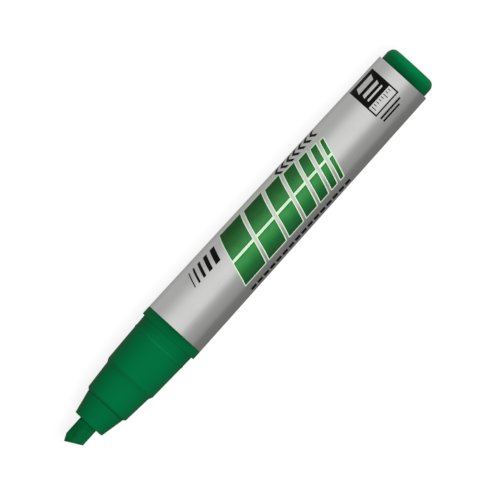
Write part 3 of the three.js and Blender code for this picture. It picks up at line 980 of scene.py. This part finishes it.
def printed(name, shapes, material):
    """Rolls shapes of ink onto the barrel. Each is given as its outlines, corner rounding and height.

    An outline is a list of (x, arc) corners. The first goes round the shape, others round windows."""
    ink = bmesh.new()
    for outlines, rounding, height in shapes:
        shape = bmesh.new()
        for outline in outlines:
            corners = [shape.verts.new((x * MM, arc * MM, -INK_ROOT * MM)) for x, arc in outline]
            for start, end in zip(corners, corners[1:] + corners[:1]):
                shape.edges.new((start, end))
        round_off(shape, shape.verts[:], rounding, CORNER_STEPS, "VERTICES")
        bmesh.ops.triangle_fill(shape, edges=shape.edges[:], use_beauty=True)
        low, high = min(arc for _, arc in outlines[0]), max(arc for _, arc in outlines[0])
        for strip in range(1, math.ceil((high - low) / INK_STRIP)):
            cut = (0, (low + strip * INK_STRIP) * MM, 0)
            bmesh.ops.bisect_plane(shape, geom=shape.verts[:] + shape.edges[:] + shape.faces[:],
                                   dist=STRIP_TOLERANCE, plane_co=cut, plane_no=(0, 1, 0))
        grown = bmesh.ops.extrude_face_region(shape, geom=shape.faces[:])
        top = [item for item in grown["geom"] if isinstance(item, bmesh.types.BMVert)]
        bmesh.ops.translate(shape, verts=top, vec=(0, 0, (INK_ROOT + height) * MM))
        bmesh.ops.recalc_face_normals(shape, faces=shape.faces[:])
        shape_mesh = bpy.data.meshes.new("ink_shape")
        shape.to_mesh(shape_mesh)
        shape.free()
        ink.from_mesh(shape_mesh)
        bpy.data.meshes.remove(shape_mesh)
    taper = (TUBE_REAR_RADIUS - TUBE_FRONT_RADIUS) / (tube_rear - tube_front)
    for point in ink.verts:
        x, arc, height = point.co / MM
        radius = (TUBE_FRONT_RADIUS + taper * (x - tube_front)) * TRUE_ROUND + height
        turn = arc / PRINT_RADIUS
        point.co = Vector((x, radius * math.sin(turn), radius * math.cos(turn))) * MM
    return add_piece(name, ink, material)


print(f"the ink stands in the metal by {INK_ROOT} mm, so no gap shows under it")

# %% [markdown]
# Three outlines are enough for the whole print: a leaning bar, an upright one and a chevron. They are only
# lists of corners, because the helper above rounds, fills and bends them.

# %% Outlines of the print
SLANT = 0.32


def slanted(x, width, low, high, grow=0.0):
    """A bar between two arcs that leans by SLANT, made larger by grow on every side."""
    sideways = grow * math.hypot(1, SLANT)
    low, high = low - grow, high + grow
    left, right = x - sideways, x + width + sideways
    return [(left + SLANT * low, low), (right + SLANT * low, low), (right + SLANT * high, high),
            (left + SLANT * high, high)]


def upright(x, width, low, high):
    """A rectangle between two arcs."""
    return [(x, low), (x + width, low), (x + width, high), (x, high)]


def chevron(x, stroke, low, high):
    """An arrow head between two arcs that points to -X and is a third as deep as it is high."""
    middle, depth = (low + high) / 2, (high - low) / 3
    return [(x, middle), (x + depth, low), (x + depth + stroke, low), (x + stroke, middle),
            (x + depth + stroke, high), (x + depth, high)]


print("corners of a leaning bar:", slanted(0, 2, -1, 1))

# %% [markdown]
# The inks are opaque, slightly rough and a little uneven, as ink is that was pressed through a mesh. The
# mesh is too fine to show, so its mark is drawn coarser. The green ink fades from a bright middle to dark
# edges, which a printer gets from two inks that run together on the screen. Here a ramp over the barrel's
# width does it.

# %% Printed inks
MESH_SIZE = 0.3
COVER_SIZE = 3.0
UNEVEN_RANGE = (0.6, 1.4)
INK_STRENGTH = (0.85, 1.15)
INK_ROUGHNESS = (0.42, 0.56)
FADE = [
    (-6.4, "#1C4C29"), (-4.2, "#1E6530"), (-2.5, "#2F7D3F"), (-1.2, "#398B48"), (1.9, "#398146"),
    (4.3, "#296533"), (7.2, "#215025"),
]


def screen_ink(name, colours, low=0.0, high=1.0):
    """A screen-printed ink. Two or more colours fade across the barrel, from Y low to Y high."""
    material, tree, shader, at = start_material(name, {"Specular IOR Level": 0.1})
    across = node(tree, "SeparateXYZ", {0: at})
    share = node(tree, "MapRange", {"Value": across.outputs["Y"], "From": metres(low, high)})
    fade = node(tree, "ValToRGB", {"Fac": share})
    set_stops(fade, [((y - low) / (high - low), linear(colour)) for y, colour in colours])
    mesh_mark = node(tree, "TexNoise", {"Vector": at, "Scale": scale_for(MESH_SIZE), "Detail": 1.0})
    cover = node(tree, "TexNoise", {"Vector": at, "Scale": scale_for(COVER_SIZE), "Detail": 2.0})
    uneven = node(tree, "Math", {0: mesh_mark, 1: cover}, operation="ADD")
    strength = node(tree, "MapRange", {"Value": uneven, "From": UNEVEN_RANGE, "To": INK_STRENGTH})
    shown = node(tree, "VectorMath", {0: fade, "Scale": strength}, operation="SCALE")
    gloss = node(tree, "MapRange", {"Value": uneven, "From": UNEVEN_RANGE, "To": INK_ROUGHNESS})
    finish(material, shader, {"Base Color": shown, "Roughness": gloss})
    return material


green_ink = screen_ink("fading_green_screen_ink", FADE, FADE[0][0], FADE[-1][0])
dark_green_ink = screen_ink("dark_green_screen_ink", [(0.0, "#153D1E")])
pale_ink = screen_ink("pale_green_screen_ink", [(0.0, "#CFEFC8")])
black_ink = screen_ink("black_screen_ink", [(0.0, "#070707")])

# %% [markdown]
# The large green shape is a row of leaning bars that get narrower and lower towards the rear, split by a
# thin pale line. Each bar is printed three times, as such prints are: a pale one first, slightly larger,
# then a dark one, and the fading green last and slightly smaller. That leaves a pale and a dark outline.

# %% Green bars
BARS_START = -3.2
BAR_WIDTHS = (8.6, 7.2, 5.8, 4.5, 3.3, 2.2, 1.3)
BAR_TOPS = (10.1, 9.5, 8.8, 7.7, 6.9, 6.3, 5.8)
BAR_GAP = 1.55
BAR_BOTTOM = -7.2
SPLIT = (0.02, 0.9)
PALE_LINE, PALE_ROUNDING, PALE_HEIGHT = 0.32, 0.3, 0.008
DARK_LINE, DARK_HEIGHT = 0.17, 0.014
GREEN_HEIGHT = 0.02
BAR_ROUNDING = 0.1

pale_bars, dark_bars, green_bars = [], [], []
x = BARS_START
for width, top in zip(BAR_WIDTHS, BAR_TOPS):
    pale_bars.append(([slanted(x, width, BAR_BOTTOM, top, PALE_LINE)], PALE_ROUNDING, PALE_HEIGHT))
    for low, high in ((BAR_BOTTOM, SPLIT[0]), (SPLIT[1], top)):
        dark_bars.append(([slanted(x, width, low, high)], BAR_ROUNDING, DARK_HEIGHT))
        green_bars.append(([slanted(x, width, low, high, -DARK_LINE)], BAR_ROUNDING, GREEN_HEIGHT))
    x += width + BAR_GAP
print_outline = printed("print_pale_outline", pale_bars, pale_ink)
print_edges = printed("print_dark_edges", dark_bars, dark_green_ink)
print_bars = printed("print_green_bars", green_bars, green_ink)

# %% [markdown]
# The small marks are black. A sample of stroke widths stands in front of the bars, a row of chevrons
# that point to the nib above them, and a broken rule below.

# %% Black marks beside the bars
SAMPLE_START = -17.0
SAMPLE_WIDTHS = (0.4, 0.7, 1.05, 1.45, 1.9)
SAMPLE_GAP = 1.35
SAMPLE_ARCS = (3.6, 8.8)
CHEVRONS = 7
CHEVRON_START, CHEVRON_PITCH = 23.6, 2.45
CHEVRON_STROKE = 1.15
CHEVRON_ARCS = (8.6, 12.8)
BROKEN_RULE = (-5.2, 39.8)
DASH, DASH_GAP = 2.0, 0.7
DASH_ARCS = (-11.6, -10.0)

marks = []
x = SAMPLE_START
for width in SAMPLE_WIDTHS:
    marks.append([slanted(x, width, *SAMPLE_ARCS)])
    x += width + SAMPLE_GAP
marks += [[chevron(CHEVRON_START + count * CHEVRON_PITCH, CHEVRON_STROKE, *CHEVRON_ARCS)]
          for count in range(CHEVRONS)]
x = BROKEN_RULE[0]
while x < BROKEN_RULE[1] - DASH:
    marks.append([upright(x, DASH, *DASH_ARCS)])
    x += DASH + DASH_GAP
print(len(marks), "marks beside the bars")

# %% [markdown]
# Near the rear a black plate has windows to the bare metal: three lines of growing width, and a field with
# a scale in millimetres. Two plain rules stand under the plate. A rectangle is given as its x, its width
# and its two arcs, and a line as its lower arc and its height.

# %% Black plate
PLATE = (55.6, 9.7, -2.0, 11.0)
FIELD = (56.1, 8.7, -1.55, 1.4)
LINES = ((2.8, 0.6), (4.4, 1.2), (6.8, 2.3))
LINE_START, LINE_LENGTH = 57.4, 6.1
TICKS, TICK_PITCH, TICK_WIDTH, TICK_MARGIN = 8, 1.0, 0.26, 0.35
LONG_TICK, SHORT_TICK, LONG_EVERY = 1.7, 1.0, 5
SMALL_RULES = ((56.1, 8.3, -3.75, -3.15), (56.1, 6.9, -5.0, -4.4))
MARK_ROUNDING = 0.08
MARK_HEIGHT = 0.01

windows = [slanted(LINE_START - SLANT * (low + height / 2), LINE_LENGTH, low, low + height)
           for low, height in LINES]
marks.append([upright(*PLATE), upright(*FIELD), *windows])
marks += [[upright(*rule)] for rule in SMALL_RULES]
first_tick = FIELD[0] + (FIELD[1] - (TICKS - 1) * TICK_PITCH - TICK_WIDTH) / 2
tick_top = FIELD[3] - TICK_MARGIN
for count in range(TICKS):
    length = SHORT_TICK if count % LONG_EVERY else LONG_TICK
    marks.append([upright(first_tick + count * TICK_PITCH, TICK_WIDTH, tick_top - length, tick_top)])
black = [(mark, MARK_ROUNDING, MARK_HEIGHT) for mark in marks]
print_black = printed("print_black_marks", black, black_ink)
print(f"{len(black)} black marks, first tick at {first_tick:.2f} mm")

# %% [markdown]
# Each new piece rides on a body of the frame and stands for the imported piece it was made after, and the
# table names that piece's material slot. The print stands for no imported piece: it rides on the barrel.

# %% Bodies and replaced pieces
for piece, body, cad_node, slot in (
    (barrel, "barrel", "barrel_tube", "satin_aluminium"),
    (front_section, "front", "front_section", "green_plastic"),
    (nib_holder, "front", "nib_holder", "green_plastic"),
    (nib, "nib", "nib", "inked_felt"),
    (rear_plug, "plug", "rear_plug", "green_plastic"),
    (reservoir_core, "barrel", "reservoir_core", "inked_fibre"),
    (reservoir_film, "barrel", "reservoir_film", "clear_film"),
):
    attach(piece, body)
    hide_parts(cad_node)
    print(f"{piece.name} stands for {cad_node} and rides on {body}")
for piece in (print_outline, print_edges, print_bars, print_black):
    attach(piece, "barrel")
